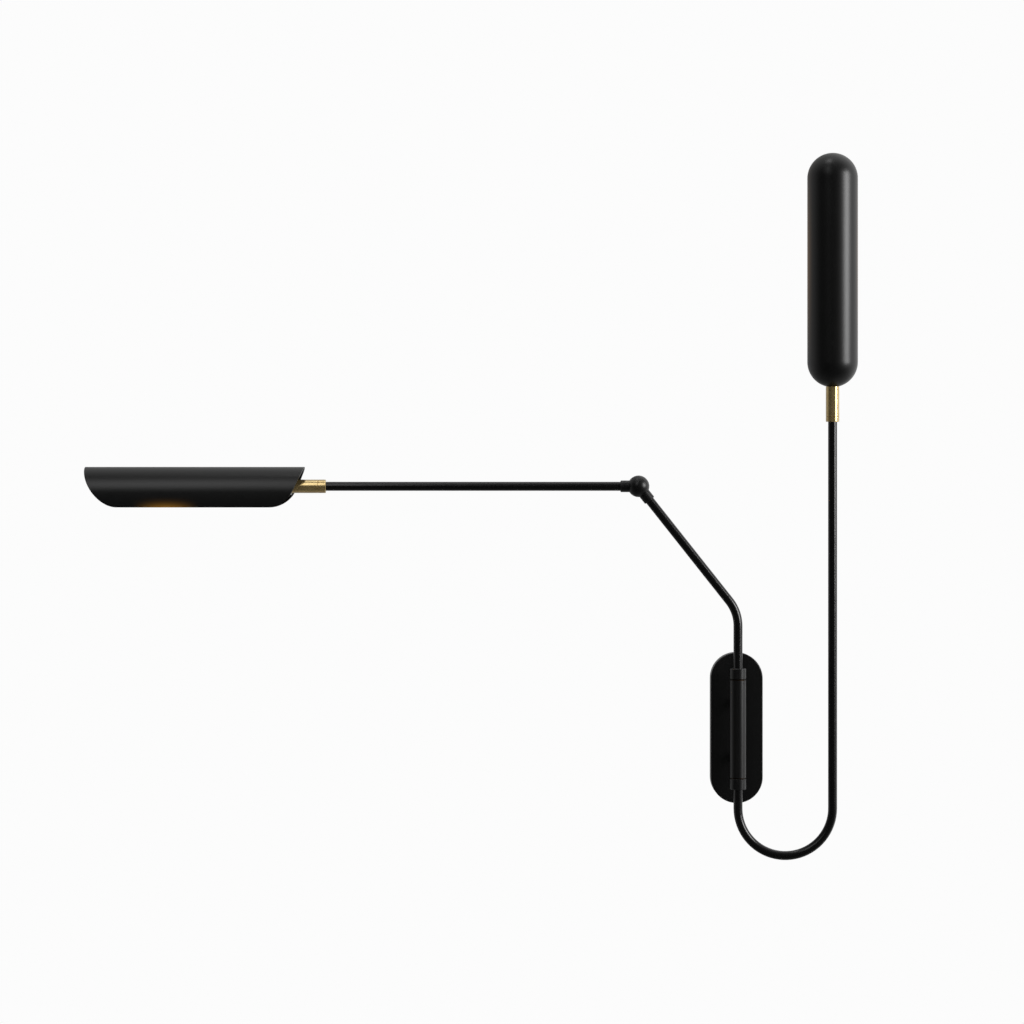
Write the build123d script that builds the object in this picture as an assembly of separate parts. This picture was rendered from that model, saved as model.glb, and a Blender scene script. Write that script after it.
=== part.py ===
from build123d import *
import math
import os

# Articulating wall lamp. Millimetres, +Z up, +Y into the wall.
# The origin is the centre of the mounting strap's back face, on the wall's surface.

# Tube that all the arms are bent from
TUBE_R = 5.0
TUBE_WALL = 1.2
LEAD_GAP = 0.7          # between the lead inside and the tube's bore
RUN_FIT = 0.05          # radial clearance of a turning fit
FACE_FIT = 0.1          # axial clearance between turning faces
SEAT_FIT = 0.2          # clearance of pieces that are only screwed together

# Wall plate and strap
PLATE_WIDTH = 58.0
PLATE_HEIGHT = 168.0
PLATE_DEPTH = 20.0
PLATE_WALL = 1.5
PLATE_EDGE_R = 1.2
STRAP_WIDTH = 24.0
STRAP_THICK = 2.0
SLOT_SPACING = 100.0
SLOT_WIDTH = 4.5
SLOT_LENGTH = 14.0
EAR_WIDTH = 14.0
EAR_DEPTH = 14.0
PLATE_SCREW_R = 1.5
PLATE_SCREW_LENGTH = 8.0
SCREW_HOLE_FIT = 0.2    # radial room of a clearance hole

# Barrel, posts and bushes on the plate
BARREL_OFFSET = 40.0    # barrel axis to the wall
BARREL_R = 9.0
BARREL_BORE_R = 7.0
BARREL_LENGTH = 108.0
POST_SPACING = 60.0
POST_R = 5.0
POST_BORE_R = 2.6
POST_STUB_R = 4.0
POST_STUB_LENGTH = 6.0
NECK_NUT_WIDTH = 12.0
NECK_NUT_THICK = 3.0
BUSH_LENGTH = 20.0
BUSH_FLANGE_R = 8.2
BUSH_FLANGE_THICK = 1.0
COLLAR_R = 9.0
COLLAR_HEIGHT = 12.0
COLLAR_EDGE = 0.6
GRUB_R = 1.5
CLIP_R = 6.4
CLIP_THICK = 1.0
CLIP_GROOVE = 0.5
TUBE_END_PAST_CLIP = 3.0

# Wiring pieces behind the plate
BLOCK_SIZE = (22.0, 11.0, 24.0)
TERMINAL_R = 1.8
TERMINAL_PITCH = 7.0
TERMINAL_PROUD = 0.6
TERMINAL_DEPTH = 4.0
EARTH_SCREW_R = 2.0
EARTH_HEAD_R = 4.0
EARTH_HEAD_THICK = 3.0
EARTH_HEIGHT = 24.0

# Upper link and knuckle
LINK_BEND_R = 45.0
LINK_CORNER_Z = 130.0
KNUCKLE_X = -110.4
KNUCKLE_Z = 269.4
BALL_R = 12.0
BALL_SPLIT = 0.5        # each half's face to the split plane
BALL_CLEAR = 0.15       # sleeve of one half to the other half's ball
SLEEVE_FLOOR = 1.0      # metal between the tube's end and that clearance
SLEEVE_R = 6.5
SLEEVE_REACH = 20.0     # knuckle centre to the end of a sleeve
SLEEVE_EDGE = 0.5
CAVITY_R = (3.8, 8.2)
CAVITY_DEPTH = 4.5
WIRE_R = 2.0
WIRE_OFFSET = 2.6
RING_R = (8.6, 11.2)
PIVOT_R = 2.0
PIVOT_DEPTH = 9.0
PIVOT_HEAD_R = 3.8
PIVOT_HEAD_THICK = 2.5
PIVOT_FLOOR = 6.5       # counterbore floor to the split plane
SPRING_THICK = 0.8

# Reading arm and lower arm
ARM_LENGTH = 347.0      # knuckle centre to the brass swivel
LOOP_R = 52.5           # centreline radius of the U bend
LOOP_Z = -88.0          # height of the U bend's centre
RISER_TOP = 341.0

# Brass swivels
BRASS_R = 7.5
BRASS_LENGTH = 39.0
READING_RING = 8.5
CAPSULE_RING = 5.5
BRASS_EDGE = 0.4
CHAMBER_R = 6.6
CHAMBER_START = 24.0
NIPPLE_R = 5.0
NIPPLE_BORE_R = 3.6
NIPPLE_PLUG = 6.0
HEAD_NUT_WIDTH = 14.0
HEAD_NUT_THICK = 3.0

# Lampholder and bulb, the same in both heads
SOCKET_R = 11.0
SOCKET_LENGTH = 32.0
SOCKET_CUP_R = 7.6
SOCKET_CUP_DEPTH = 20.0
SOCKET_RIM_EDGE = 1.0
NIPPLE_GRIP = 8.0       # length of nipple inside the lampholder
CAP_R = 7.0
CAP_LENGTH = 19.0
BULB_R = 15.0
BULB_LENGTH = 140.0
BULB_NECK = 16.0
BULB_GLASS = 0.9

# Trough shade of the reading head
SHADE_LENGTH = 243.5
SHADE_R = 28.0          # crown radius, half the width
SHADE_CROWN = 21.5      # crown above the arm's axis
SHADE_RIM = 23.5        # rim below the arm's axis
SHADE_WALL = 1.2
SHADE_OVERHANG = 15.5   # shade end past the bracket
TIP_CURVE = 36.6        # length of the rounded tip
HEEL_RUN = 11.0         # straight slant at the arm's end
HEEL_DROP = 25.0
BRACKET_THICK = 6.0
BRACKET_DROP = 9.5
SHADE_SCREW_R = 1.5
SHADE_SCREW_LENGTH = 7.0
SHADE_HEAD_R = 2.8
SHADE_HEAD_THICK = 1.2
SHADE_SCREW_TURNS = (30.0, 75.0)

# Capsule shade
CAPSULE_R = 28.0
CAPSULE_LENGTH = 260.0
CAPSULE_WALL = 1.5
CAPSULE_SEAT = 0.6      # flat ground on the lower dome
WINDOW_WIDTH = 36.0
WINDOW_LENGTH = 202.0
WINDOW_START = 30.0     # lower end of the window above the seat

# Worked out from the sizes above
TUBE_BORE_R = TUBE_R - TUBE_WALL
LEAD_R = TUBE_BORE_R - LEAD_GAP
HALF_BARREL = BARREL_LENGTH / 2
BARREL_END = HALF_BARREL + BUSH_FLANGE_THICK
BUSH_TIP = HALF_BARREL - BUSH_LENGTH
COLLAR_START = BARREL_END + FACE_FIT
TUBE_START = BUSH_TIP - FACE_FIT - CLIP_THICK - TUBE_END_PAST_CLIP
TUBE_SEAT = BALL_R + BALL_CLEAR + SLEEVE_FLOOR
ARM_AXIS = Vector(0, -BARREL_OFFSET, 0)
KNUCKLE = Vector(KNUCKLE_X, -BARREL_OFFSET, KNUCKLE_Z)
CORNER = Vector(0, -BARREL_OFFSET, LINK_CORNER_Z)
TO_CORNER = (CORNER - KNUCKLE).normalized()
RISER_X = 2 * LOOP_R
SWIVEL_TUBE_END = CHAMBER_START + FACE_FIT + CLIP_THICK + TUBE_END_PAST_CLIP
READING_PLANE = Plane(origin=KNUCKLE - Vector(ARM_LENGTH, 0, 0), x_dir=(0, 0, 1), z_dir=(-1, 0, 0))
CAPSULE_PLANE = Plane(origin=(RISER_X, -BARREL_OFFSET, RISER_TOP))


def save(name, *solids):
    """Writes one sub-part, which may be several equal solids."""
    found = [s for item in solids for s in item.solids()]
    export_step(found[0] if len(found) == 1 else Compound(children=found), f"parts/{name}.step")


def rod(radius, start, end, bore=0.0):
    """A round bar or tube along +Z between two heights."""
    shape = Pos(0, 0, (start + end) / 2) * Cylinder(radius, end - start)
    if bore:
        shape -= Pos(0, 0, (start + end) / 2) * Cylinder(bore, end - start)
    return shape


def softened(shape, size, height):
    """Chamfers the outer circular edges that lie at one height."""
    circles = shape.edges().filter_by(GeomType.CIRCLE)
    level = [edge for edge in circles if abs(edge.center().Z - height) < size / 2]
    return chamfer(max(level, key=lambda edge: edge.radius), size)


def hex_nut(width, start, thick, bore):
    """A hexagon nut along +Z."""
    corner = width / math.sqrt(3)
    nut = extrude(Pos(0, 0, start) * RegularPolygon(corner, 6), thick)
    return nut - rod(bore, start, start + thick)


def along(path, radius, bore=0.0):
    """A bar or tube that follows a path of straight runs and arcs."""
    start = Plane(origin=path @ 0, z_dir=path % 0)
    shape = sweep(start * Circle(radius), path)
    if bore:
        shape -= sweep(start * Circle(bore), path)
    return shape


def clip(start):
    """A retaining ring that snaps into a groove in a tube."""
    return rod(CLIP_R, start, start + CLIP_THICK, TUBE_R - CLIP_GROOVE)


def groove(start):
    """The groove that a retaining ring sits in."""
    return rod(TUBE_R + CLIP_GROOVE, start, start + CLIP_THICK, TUBE_R - CLIP_GROOVE)


def wall_plate():
    """The stadium-shaped cover, open towards the wall."""
    front = Plane(origin=(0, -PLATE_DEPTH, 0), x_dir=(1, 0, 0), z_dir=(0, 1, 0))
    outer = extrude(front * SlotOverall(PLATE_HEIGHT, PLATE_WIDTH, rotation=90), PLATE_DEPTH)
    outer = fillet(outer.faces().sort_by(Axis.Y)[0].edges(), PLATE_EDGE_R)
    inner_slot = SlotOverall(PLATE_HEIGHT - 2 * PLATE_WALL, PLATE_WIDTH - 2 * PLATE_WALL, rotation=90)
    plate = outer - extrude(front.offset(PLATE_WALL) * inner_slot, PLATE_DEPTH)
    for side in (-1, 1):
        hole = Pos(0, -PLATE_DEPTH, side * POST_SPACING / 2) * Rot(90, 0, 0)
        plate -= hole * Cylinder(POST_STUB_R, 2 * PLATE_DEPTH / 3)
        plate -= Pos(0, -EAR_DEPTH / 2, side * PLATE_HEIGHT / 2) * Cylinder(
            PLATE_SCREW_R + SCREW_HOLE_FIT, 4 * PLATE_WALL
        )
    return plate


def ear_face():
    """Height at which a strap ear of full width just clears the plate's round end."""
    straight = (PLATE_HEIGHT - PLATE_WIDTH) / 2
    inner_r = PLATE_WIDTH / 2 - PLATE_WALL
    return straight + math.sqrt(inner_r**2 - (EAR_WIDTH / 2) ** 2) - SEAT_FIT


def mounting_strap():
    """The slotted strap on the wall, with an ear bent forward at each end."""
    top = ear_face()
    strap = Pos(0, -STRAP_THICK / 2, 0) * Box(STRAP_WIDTH, STRAP_THICK, 2 * (top - PLATE_WIDTH / 4))
    strap += Pos(0, -STRAP_THICK / 2, 0) * Box(EAR_WIDTH, STRAP_THICK, 2 * top)
    for side in (-1, 1):
        ear = Pos(0, -EAR_DEPTH / 2, side * (top - STRAP_THICK / 2)) * Box(EAR_WIDTH, EAR_DEPTH, STRAP_THICK)
        strap += ear
        strap -= Pos(0, -EAR_DEPTH / 2, side * top) * Cylinder(PLATE_SCREW_R, 4 * STRAP_THICK)
        slot_plane = Plane(origin=(0, 0, side * SLOT_SPACING / 2), x_dir=(1, 0, 0), z_dir=(0, -1, 0))
        slot = SlotOverall(SLOT_LENGTH, SLOT_WIDTH, rotation=90)
        strap -= extrude(slot_plane * slot, STRAP_THICK)
    strap -= Pos(0, 0, EARTH_HEIGHT) * Rot(90, 0, 0) * Cylinder(EARTH_SCREW_R, 4 * STRAP_THICK)
    return strap


def plate_screws():
    """Two grub screws that hold the plate to the strap's ears."""
    top = PLATE_HEIGHT / 2 - SEAT_FIT
    middle = top - PLATE_SCREW_LENGTH / 2
    return [
        Pos(0, -EAR_DEPTH / 2, side * middle) * Cylinder(PLATE_SCREW_R, PLATE_SCREW_LENGTH)
        for side in (-1, 1)
    ]


def neck_post(height):
    """A hollow post from the plate to the barrel, with a threaded stub and a saddle end."""
    toward_lamp = Plane(origin=(0, -PLATE_DEPTH, height), z_dir=(0, -1, 0))
    post = rod(POST_R, 0, BARREL_OFFSET - PLATE_DEPTH)
    post += rod(POST_STUB_R, -POST_STUB_LENGTH, 0)
    post -= rod(POST_BORE_R, -POST_STUB_LENGTH, BARREL_OFFSET)
    post = toward_lamp * post
    return post - Pos(ARM_AXIS) * Cylinder(BARREL_R, 2 * BARREL_LENGTH)


def neck_nuts():
    """The nuts that clamp the posts to the plate from behind."""
    nuts = []
    for side in (-1, 1):
        behind = Plane(origin=(0, -PLATE_DEPTH + PLATE_WALL, side * POST_SPACING / 2), z_dir=(0, 1, 0))
        nuts.append(behind * hex_nut(NECK_NUT_WIDTH, 0, NECK_NUT_THICK, POST_STUB_R))
    return nuts


def pivot_barrel():
    """The tube that both arms turn in, with a wire hole behind each post."""
    barrel = Pos(ARM_AXIS) * rod(BARREL_R, -HALF_BARREL, HALF_BARREL, BARREL_BORE_R)
    for side in (-1, 1):
        wire_hole = Pos(0, -BARREL_OFFSET / 2, side * POST_SPACING / 2) * Rot(90, 0, 0)
        barrel -= wire_hole * Cylinder(POST_BORE_R, BARREL_OFFSET)
    return barrel


def pivot_bush():
    """A flanged bush for the barrel's upper end, along +Z."""
    bush = rod(BARREL_BORE_R, BUSH_TIP, HALF_BARREL)
    bush += rod(BUSH_FLANGE_R, HALF_BARREL, BARREL_END)
    return bush - rod(TUBE_R + RUN_FIT, BUSH_TIP, BARREL_END)


def pivot_collar():
    """A stop collar on an arm's tube, drilled for its grub screw, for the upper end."""
    top = COLLAR_START + COLLAR_HEIGHT
    collar = rod(COLLAR_R, COLLAR_START, top)
    collar = softened(softened(collar, COLLAR_EDGE, top), COLLAR_EDGE, COLLAR_START)
    collar -= rod(TUBE_R, COLLAR_START, top)
    middle = COLLAR_START + COLLAR_HEIGHT / 2
    return collar - Pos(0, COLLAR_R, middle) * Rot(90, 0, 0) * Cylinder(GRUB_R, 2 * COLLAR_R)


def collar_screw():
    """The grub screw of a collar, on the side towards the wall."""
    length = COLLAR_R - TUBE_R - SEAT_FIT
    middle = COLLAR_START + COLLAR_HEIGHT / 2
    return Pos(0, TUBE_R + length / 2, middle) * Rot(90, 0, 0) * Cylinder(GRUB_R, length)


def upper_end(shape):
    """Places a barrel-end piece at the top of the barrel."""
    return Pos(ARM_AXIS) * shape


def lower_end(shape):
    """Places a barrel-end piece at the bottom of the barrel."""
    return Pos(ARM_AXIS) * mirror(shape, about=Plane.XY)


def terminal_block():
    """The connector block on the strap, with wells for its screws."""
    width, depth, height = BLOCK_SIZE
    block = Pos(0, -STRAP_THICK - depth / 2, 0) * Box(width, depth, height)
    for place in terminal_places():
        block -= place * Cylinder(TERMINAL_R, 2 * TERMINAL_DEPTH)
    return block


def terminal_places():
    """Centres of the terminal screws on the block's front face, in two rows of three."""
    front = -STRAP_THICK - BLOCK_SIZE[1]
    return [
        Pos(column * TERMINAL_PITCH, front, row * BLOCK_SIZE[2] / 4) * Rot(90, 0, 0)
        for column in (-1, 0, 1)
        for row in (-1, 1)
    ]


def terminal_screws():
    """Six terminal screws, each a little proud of the block."""
    length = TERMINAL_DEPTH + TERMINAL_PROUD
    shift = (TERMINAL_PROUD - TERMINAL_DEPTH) / 2
    return [place * Pos(0, 0, shift) * Cylinder(TERMINAL_R, length) for place in terminal_places()]


def earth_screw():
    """The earth screw in the strap."""
    screw = rod(EARTH_SCREW_R, 0, STRAP_THICK)
    screw += rod(EARTH_HEAD_R, STRAP_THICK, STRAP_THICK + EARTH_HEAD_THICK)
    return Plane(origin=(0, 0, EARTH_HEIGHT), z_dir=(0, -1, 0)) * screw


def link_path(past_start=0.0):
    """Centreline of the upper link, from inside the barrel to the knuckle's sleeve."""
    start = Vector(0, -BARREL_OFFSET, TUBE_START + past_start)
    end = KNUCKLE + TO_CORNER * (TUBE_SEAT + past_start)
    return FilletPolyline(start, CORNER, end, radius=LINK_BEND_R)


def upper_link():
    """The bent tube from the barrel to the knuckle."""
    tube = along(link_path(), TUBE_R, TUBE_BORE_R)
    return tube - upper_end(groove(BUSH_TIP - FACE_FIT - CLIP_THICK))


def half_space(side):
    """A block that fills one side of the knuckle's split plane, past its gap."""
    size = 4 * SLEEVE_REACH
    return Pos(0, side * (size / 2 + BALL_SPLIT), 0) * Box(size, size, size)


def knuckle_half(side, sleeve_axis):
    """Half of the knuckle's ball with a full round sleeve, at the origin."""
    frame = Plane(origin=(0, 0, 0), z_dir=sleeve_axis)
    sleeve = softened(rod(SLEEVE_R, 0, SLEEVE_REACH), SLEEVE_EDGE, SLEEVE_REACH)
    sleeve = frame * sleeve
    other_ball = Sphere(BALL_R + BALL_CLEAR) - half_space(side)
    half = (Sphere(BALL_R) & half_space(side)) + (sleeve - other_ball)
    half -= frame * rod(TUBE_R, TUBE_SEAT, SLEEVE_REACH)
    depth = BALL_SPLIT + CAVITY_DEPTH
    cavity = Cylinder(CAVITY_R[1], 2 * depth) - Cylinder(CAVITY_R[0], 2 * depth)
    half -= Rot(90, 0, 0) * cavity
    wire_start = (CAVITY_R[0] + CAVITY_R[1]) / 2
    return half - Pos(0, side * WIRE_OFFSET, 0) * frame * rod(WIRE_R, wire_start, TUBE_SEAT)


def knuckle_base():
    """The half towards the wall, on the upper link. Its counterbore takes the pivot screw's head."""
    half = knuckle_half(1, TO_CORNER)
    half -= Rot(-90, 0, 0) * rod(PIVOT_R + RUN_FIT, 0, BALL_R)
    half -= Rot(-90, 0, 0) * rod(PIVOT_HEAD_R + SEAT_FIT, PIVOT_FLOOR, BALL_R)
    return Pos(KNUCKLE) * half


def knuckle_cap():
    """The half towards the room, on the reading arm, tapped for the pivot screw."""
    half = knuckle_half(-1, (-1, 0, 0))
    half -= Rot(90, 0, 0) * rod(PIVOT_R, 0, PIVOT_DEPTH)
    return Pos(KNUCKLE) * half


def pivot_screw():
    """The screw through the knuckle, its head hidden in the base's counterbore."""
    head = PIVOT_FLOOR + FACE_FIT + SPRING_THICK
    screw = rod(PIVOT_R, -PIVOT_DEPTH, head)
    screw += rod(PIVOT_HEAD_R, head, head + PIVOT_HEAD_THICK)
    return Pos(KNUCKLE) * Rot(-90, 0, 0) * screw


def spring_washer():
    """The washer under the pivot screw's head."""
    start = PIVOT_FLOOR + FACE_FIT
    return Pos(KNUCKLE) * Rot(-90, 0, 0) * rod(PIVOT_HEAD_R, start, start + SPRING_THICK, PIVOT_R)


def friction_ring():
    """The ring between the knuckle's halves that holds the arm where it is put."""
    thick = 2 * (BALL_SPLIT - RUN_FIT)
    return Pos(KNUCKLE) * Rot(90, 0, 0) * rod(RING_R[1], -thick / 2, thick / 2, RING_R[0])


def reading_path(inset=0.0):
    """Centreline of the reading arm, from the knuckle's sleeve into the brass swivel."""
    start = KNUCKLE - Vector(TUBE_SEAT + inset, 0, 0)
    return Line(start, KNUCKLE - Vector(ARM_LENGTH + SWIVEL_TUBE_END - inset, 0, 0))


def loop_path(inset=0.0):
    """Centreline of the lower arm: down out of the barrel, round the U bend and up the riser."""
    y = -BARREL_OFFSET
    down = Line((0, y, -TUBE_START - inset), (0, y, LOOP_Z))
    bend = ThreePointArc((0, y, LOOP_Z), (LOOP_R, y, LOOP_Z - LOOP_R), (RISER_X, y, LOOP_Z))
    up = Line((RISER_X, y, LOOP_Z), (RISER_X, y, RISER_TOP + SWIVEL_TUBE_END - inset))
    return Wire([down, bend, up])


def swivel_groove():
    """The clip groove near the tube's end inside a brass swivel."""
    return groove(CHAMBER_START + FACE_FIT)


def arm_ring(length):
    """The brass ring fixed on the arm, below the part of the swivel that turns."""
    ring = softened(rod(BRASS_R, 0, length), BRASS_EDGE, 0)
    return ring - rod(TUBE_R, 0, length)


def turning_sleeve(ring_length):
    """The brass sleeve that turns on the arm's tube, with a chamber for the clip."""
    start = ring_length + FACE_FIT
    sleeve = softened(rod(BRASS_R, start, BRASS_LENGTH), BRASS_EDGE, start)
    sleeve -= rod(TUBE_R + RUN_FIT, start, CHAMBER_START)
    return sleeve - rod(CHAMBER_R, CHAMBER_START, BRASS_LENGTH)


def nipple(nut_start):
    """The threaded nipple that joins the sleeve, the shade and the lampholder."""
    end = nut_start + HEAD_NUT_THICK + NIPPLE_GRIP
    shape = rod(CHAMBER_R, BRASS_LENGTH - NIPPLE_PLUG, BRASS_LENGTH)
    shape += rod(NIPPLE_R, BRASS_LENGTH, end)
    return shape - rod(NIPPLE_BORE_R, BRASS_LENGTH - NIPPLE_PLUG, end)


def socket_start(nut_start):
    """Where the lampholder begins, just past the head nut."""
    return nut_start + HEAD_NUT_THICK + SEAT_FIT


def lampholder(nut_start):
    """The lampholder, screwed on the nipple, with a cup for the bulb's cap."""
    start = socket_start(nut_start)
    end = start + SOCKET_LENGTH
    holder = softened(rod(SOCKET_R, start, end), SOCKET_RIM_EDGE, start)
    holder -= rod(NIPPLE_R, start, nut_start + HEAD_NUT_THICK + NIPPLE_GRIP)
    return holder - rod(SOCKET_CUP_R, end - SOCKET_CUP_DEPTH, end)


def bulb_cap(nut_start):
    """The bulb's metal cap, seated at the bottom of the cup."""
    start = socket_start(nut_start) + SOCKET_LENGTH - SOCKET_CUP_DEPTH
    return rod(CAP_R, start, start + CAP_LENGTH)


def bulb_body(start, radius, neck_r, tip):
    """One skin of the tubular bulb: a neck that swells into a round-ended tube."""
    with BuildPart() as bulb:
        with BuildSketch(Plane.XZ):
            with BuildLine():
                Line((0, start), (neck_r, start))
                Spline(
                    (neck_r, start),
                    (radius, start + BULB_NECK),
                    tangents=[(0, 1), (0, 1)],
                )
                Line((radius, start + BULB_NECK), (radius, tip - radius))
                RadiusArc((radius, tip - radius), (0, tip), -radius)
                Line((0, tip), (0, start))
            make_face()
        revolve(axis=Axis.Z)
    return bulb.part


def bulb_glass(nut_start):
    """The bulb's thin glass, standing on its cap."""
    start = socket_start(nut_start) + SOCKET_LENGTH - SOCKET_CUP_DEPTH + CAP_LENGTH
    tip = start + BULB_LENGTH
    outer = bulb_body(start, BULB_R, CAP_R, tip)
    inner = bulb_body(start, BULB_R - BULB_GLASS, CAP_R - BULB_GLASS, tip - BULB_GLASS)
    return outer - inner


def trough_section(radius, rim):
    """The shade's section in its own frame, as a face across the arm: a round crown on straight sides."""
    centre = SHADE_CROWN - SHADE_R
    section = Pos(centre, 0) * Circle(radius)
    return section + Pos((centre - rim) / 2, 0) * Rectangle(centre + rim, 2 * radius)


def shade_outline():
    """Side outline of the shade: X along the arm's axis away from the arm, Y up."""
    heel = BRASS_LENGTH - SHADE_OVERHANG
    tip = heel + SHADE_LENGTH
    slant = math.atan2(HEEL_DROP, HEEL_RUN)
    depth = SHADE_CROWN + SHADE_RIM
    heel_r = (depth - HEEL_DROP) / (1 - math.cos(slant))
    heel_low = (heel + HEEL_RUN, SHADE_CROWN - HEEL_DROP)
    heel_end = (heel + HEEL_RUN + heel_r * math.sin(slant), -SHADE_RIM)
    with BuildSketch() as outline:
        with BuildLine():
            Polyline((tip - TIP_CURVE, -SHADE_RIM), heel_end)
            TangentArc(heel_end, heel_low, tangent=(-1, 0))
            Polyline(heel_low, (heel, SHADE_CROWN), (tip, SHADE_CROWN))
            EllipticalCenterArc((tip - TIP_CURVE, SHADE_CROWN), TIP_CURVE, depth, start_angle=270, arc_size=90)
        make_face()
    return outline.sketch


def screw_direction(turn):
    """Frame of a shade screw: out of the crown's centre, turned towards the wall."""
    centre = Pos(SHADE_CROWN - SHADE_R, 0, BRASS_LENGTH + BRACKET_THICK / 2)
    return centre * Rot(0, 0, turn) * Rot(0, 90, 0)


def reading_shade():
    """The rolled trough shade, open below and at its ends."""
    start = -SHADE_LENGTH
    outer = extrude(Pos(0, 0, start) * trough_section(SHADE_R, SHADE_RIM), 3 * SHADE_LENGTH)
    rim_below = SHADE_RIM + SHADE_WALL
    inner = extrude(Pos(0, 0, start) * trough_section(SHADE_R - SHADE_WALL, rim_below), 3 * SHADE_LENGTH)
    side = Plane(origin=(0, -SHADE_LENGTH, 0), x_dir=(0, 0, 1), z_dir=(0, 1, 0))
    outline = extrude(side * shade_outline(), 2 * SHADE_LENGTH)
    shade = (outer - inner) & outline
    for turn in SHADE_SCREW_TURNS:
        shade -= screw_direction(turn) * rod(SHADE_SCREW_R + SCREW_HOLE_FIT, 0, 2 * SHADE_R)
    return shade


def reading_bracket():
    """The bulkhead inside the shade's end, which carries the shade on the nipple."""
    fitted = trough_section(SHADE_R - SHADE_WALL - SEAT_FIT / 2, BRACKET_DROP)
    bracket = extrude(Pos(0, 0, BRASS_LENGTH) * fitted, BRACKET_THICK)
    below = SHADE_R + BRACKET_DROP
    bracket -= Pos(-BRACKET_DROP - below / 2, 0, BRASS_LENGTH) * Box(below, 4 * SHADE_R, 4 * BRACKET_THICK)
    bracket -= rod(NIPPLE_R, BRASS_LENGTH, BRASS_LENGTH + BRACKET_THICK)
    for turn in SHADE_SCREW_TURNS:
        bracket -= screw_direction(turn) * rod(SHADE_SCREW_R, SHADE_R - SHADE_SCREW_LENGTH, SHADE_R)
    return bracket


def shade_screws():
    """Two screws from the shade into the bracket, on the side towards the wall."""
    screws = []
    for turn in SHADE_SCREW_TURNS:
        screw = rod(SHADE_SCREW_R, SHADE_R - SHADE_SCREW_LENGTH, SHADE_R)
        screw += rod(SHADE_HEAD_R, SHADE_R, SHADE_R + SHADE_HEAD_THICK)
        screws.append(screw_direction(turn) * screw)
    return screws


def capsule(radius, start, end):
    """A tube with a hemisphere at each end, between two heights."""
    shape = rod(radius, start + radius, end - radius)
    return shape + Pos(0, 0, start + radius) * Sphere(radius) + Pos(0, 0, end - radius) * Sphere(radius)


def capsule_shade():
    """The capsule shade, seated on the sleeve, with a long window towards the wall."""
    start = BRASS_LENGTH - CAPSULE_SEAT
    end = start + CAPSULE_LENGTH
    shade = capsule(CAPSULE_R, start, end)
    shade -= capsule(CAPSULE_R - CAPSULE_WALL, start + CAPSULE_WALL, end - CAPSULE_WALL)
    shade -= rod(BRASS_R + SEAT_FIT, start, BRASS_LENGTH)
    shade -= rod(NIPPLE_R, start, BRASS_LENGTH + CAPSULE_R)
    middle = BRASS_LENGTH + WINDOW_START + WINDOW_LENGTH / 2
    back = Plane(origin=(0, 0, middle), x_dir=(1, 0, 0), z_dir=(0, 1, 0))
    return shade - extrude(back * SlotOverall(WINDOW_LENGTH, WINDOW_WIDTH, rotation=90), 2 * CAPSULE_R)


def capsule_nut_start():
    """Where the nut's corners rest on the inside of the capsule's lower dome."""
    inner_r = CAPSULE_R - CAPSULE_WALL
    corner = HEAD_NUT_WIDTH / math.sqrt(3)
    centre = BRASS_LENGTH - CAPSULE_SEAT + CAPSULE_R
    return centre - math.sqrt(inner_r**2 - corner**2) + RUN_FIT


def lamp_end(name, plane, nut_start):
    """Saves the pieces that both heads share, from the nipple to the bulb."""
    save(f"{name}_nipple", plane * nipple(nut_start))
    save(f"{name}_nut", plane * hex_nut(HEAD_NUT_WIDTH, nut_start, HEAD_NUT_THICK, NIPPLE_R))
    save(f"{name}_lampholder", plane * lampholder(nut_start))
    save(f"{name}_bulb_cap", plane * bulb_cap(nut_start))
    save(f"{name}_bulb", plane * bulb_glass(nut_start))


def save_wall_bracket():
    """Everything that stays on the wall."""
    save("wall_plate", wall_plate())
    save("mounting_strap", mounting_strap())
    save("plate_screws", *plate_screws())
    save("upper_neck_post", neck_post(POST_SPACING / 2))
    save("lower_neck_post", neck_post(-POST_SPACING / 2))
    save("neck_nuts", *neck_nuts())
    save("pivot_barrel", pivot_barrel())
    save("upper_bush", upper_end(pivot_bush()))
    save("lower_bush", lower_end(pivot_bush()))
    save("terminal_block", terminal_block())
    save("terminal_screws", *terminal_screws())
    save("earth_screw", earth_screw())


def save_upper_arm():
    """The bent link that swings on the barrel's upper end."""
    save("upper_collar", upper_end(pivot_collar()))
    save("upper_collar_screw", upper_end(collar_screw()))
    save("upper_link", upper_link())
    save("upper_clip", upper_end(clip(BUSH_TIP - FACE_FIT - CLIP_THICK)))
    save("upper_lead", along(link_path(LEAD_GAP), LEAD_R))
    save("knuckle_base", knuckle_base())


def save_reading_arm():
    """The straight arm that tilts at the knuckle."""
    tube = along(reading_path(), TUBE_R, TUBE_BORE_R) - READING_PLANE * swivel_groove()
    save("knuckle_cap", knuckle_cap())
    save("knuckle_pivot_screw", pivot_screw())
    save("knuckle_spring_washer", spring_washer())
    save("knuckle_friction_ring", friction_ring())
    save("reading_arm_tube", tube)
    save("reading_arm_ring", READING_PLANE * arm_ring(READING_RING))
    save("reading_arm_clip", READING_PLANE * clip(CHAMBER_START + FACE_FIT))
    save("reading_arm_lead", along(reading_path(LEAD_GAP), LEAD_R))


def save_reading_head():
    """The trough head that turns on the reading arm."""
    save("reading_sleeve", READING_PLANE * turning_sleeve(READING_RING))
    save("reading_bracket", READING_PLANE * reading_bracket())
    save("reading_shade", READING_PLANE * reading_shade())
    save("reading_shade_screws", *[READING_PLANE * screw for screw in shade_screws()])
    lamp_end("reading", READING_PLANE, BRASS_LENGTH + BRACKET_THICK)


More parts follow.
